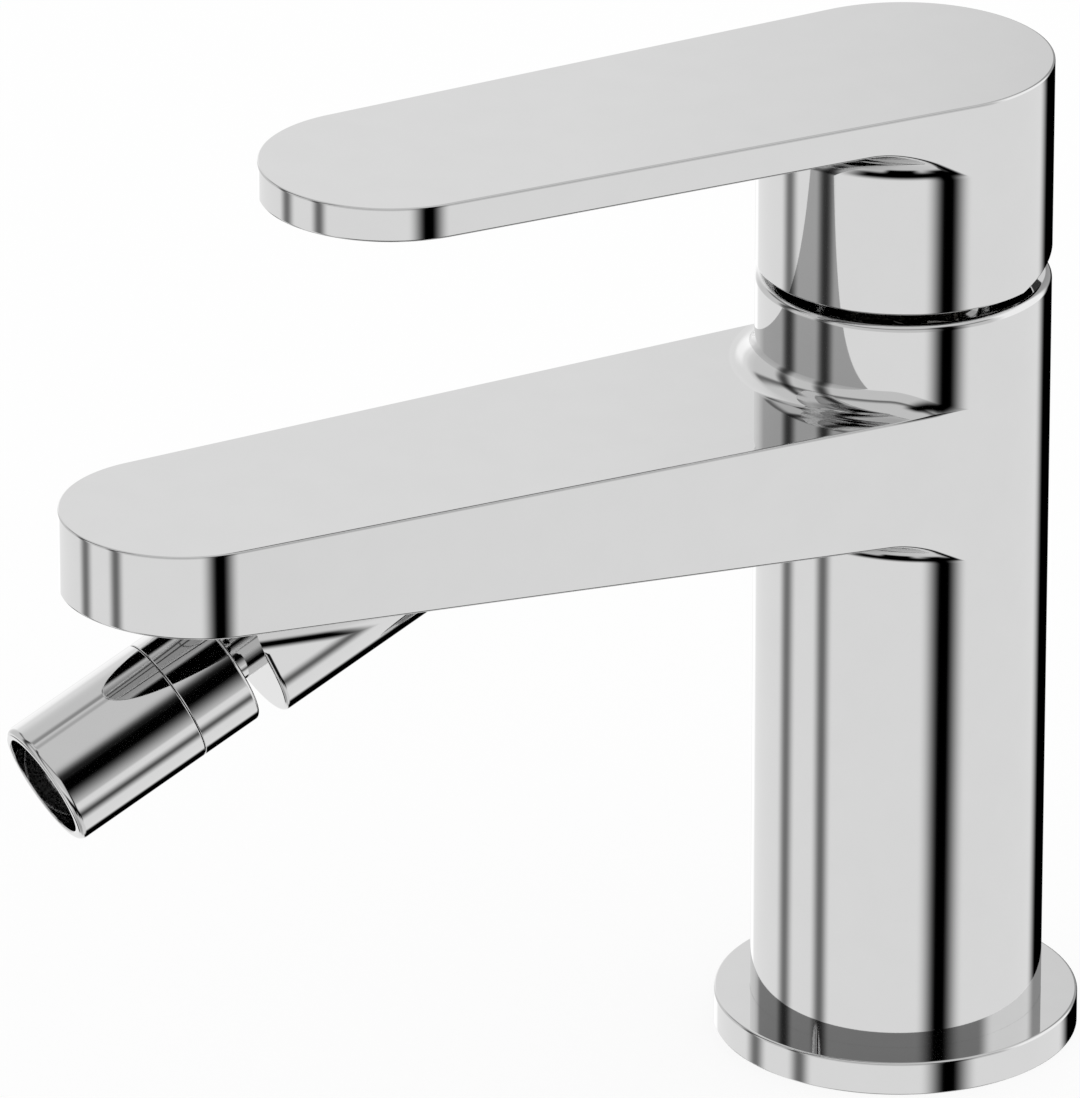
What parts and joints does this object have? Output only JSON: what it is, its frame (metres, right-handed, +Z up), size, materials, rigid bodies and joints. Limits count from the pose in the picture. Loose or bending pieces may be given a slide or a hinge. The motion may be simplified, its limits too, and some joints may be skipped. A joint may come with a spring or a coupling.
{
  "type": "bidet mixer",
  "caption": "Single-lever deck-mounted bidet mixer in polished chrome, with a flat tapering spout, a tongue-shaped lever on a round column and a ball-jointed swivelling nozzle.",
  "frame": {"origin": "centre of the base ring, on the deck that the mixer stands on", "axes": "+Z up along the column, -Y towards the tips of the spout and the closed lever, +X sideways to the cold side"},
  "size_m": [0.0524, 0.1658, 0.1491],
  "materials": {
    "chrome_plate": "polished chrome plate",
    "black_rubber": "matt moulded rubber",
    "brass": "nickel-plated turned brass",
    "stainless_steel": "turned stainless steel",
    "white_ceramic": "lapped technical ceramic",
    "white_plastic": "moulded acetal",
    "grey_plastic": "moulded plastic, very dark grey"
  },
  "bodies": {
    "mixer_body": {"body_casting": "chrome_plate", "base_ring": "chrome_plate", "base_gasket": "black_rubber", "cartridge_base": "white_plastic", "port_seals": "black_rubber", "disc_seals": "black_rubber", "fixed_disc": "white_ceramic", "cartridge_housing": "white_plastic", "housing_o_ring": "black_rubber", "retaining_nut": "brass", "ball_stem": "chrome_plate", "stem_washer": "black_rubber"},
    "turning_core": {"rotor": "grey_plastic", "spindle_pin": "stainless_steel"},
    "sliding_disc": {"moving_disc": "white_ceramic", "disc_carrier": "grey_plastic"},
    "lever": {"handle": "chrome_plate", "spindle": "stainless_steel", "grub_screw": "stainless_steel", "screw_plug": "chrome_plate"},
    "ball_cage": {"ball_liner": "white_plastic"},
    "nozzle": {"nozzle_collar": "chrome_plate", "nozzle_sleeve": "chrome_plate", "front_seal": "black_rubber", "gland_ring": "brass", "aerator_seal": "black_rubber", "aerator_cage": "grey_plastic", "aerator_mesh": "stainless_steel", "flow_straightener": "grey_plastic"}
  },
  "joints": [
    {"name": "lever_swing", "type": "hinge", "parent": "mixer_body", "child": "turning_core", "pos_m": [0, 0, 0.113], "axis": [0, 0, 1], "range_deg": [-45, 45]},
    {"name": "lever_lift", "type": "hinge", "parent": "turning_core", "child": "lever", "pos_m": [0, 0.0045, 0.113], "axis": [-1, 0, 0], "range_deg": [0, 15]},
    {"name": "disc_slide", "type": "slide", "parent": "turning_core", "child": "sliding_disc", "axis": [0, -1, 0], "range_m": [0, 0.0025]},
    {"name": "nozzle_pitch", "type": "hinge", "parent": "mixer_body", "child": "ball_cage", "pos_m": [0, -0.1115, 0.0771], "axis": [1, 0, 0], "range_deg": [-14, 14]},
    {"name": "nozzle_yaw", "type": "hinge", "parent": "ball_cage", "child": "nozzle", "pos_m": [0, -0.1115, 0.0771], "axis": [0, -0.4226, 0.9063], "range_deg": [-14, 14]}
  ],
  "couplings": [
    {"joint": "disc_slide", "follows": "lever_lift", "m_per_rad": 0.009293}
  ]
}
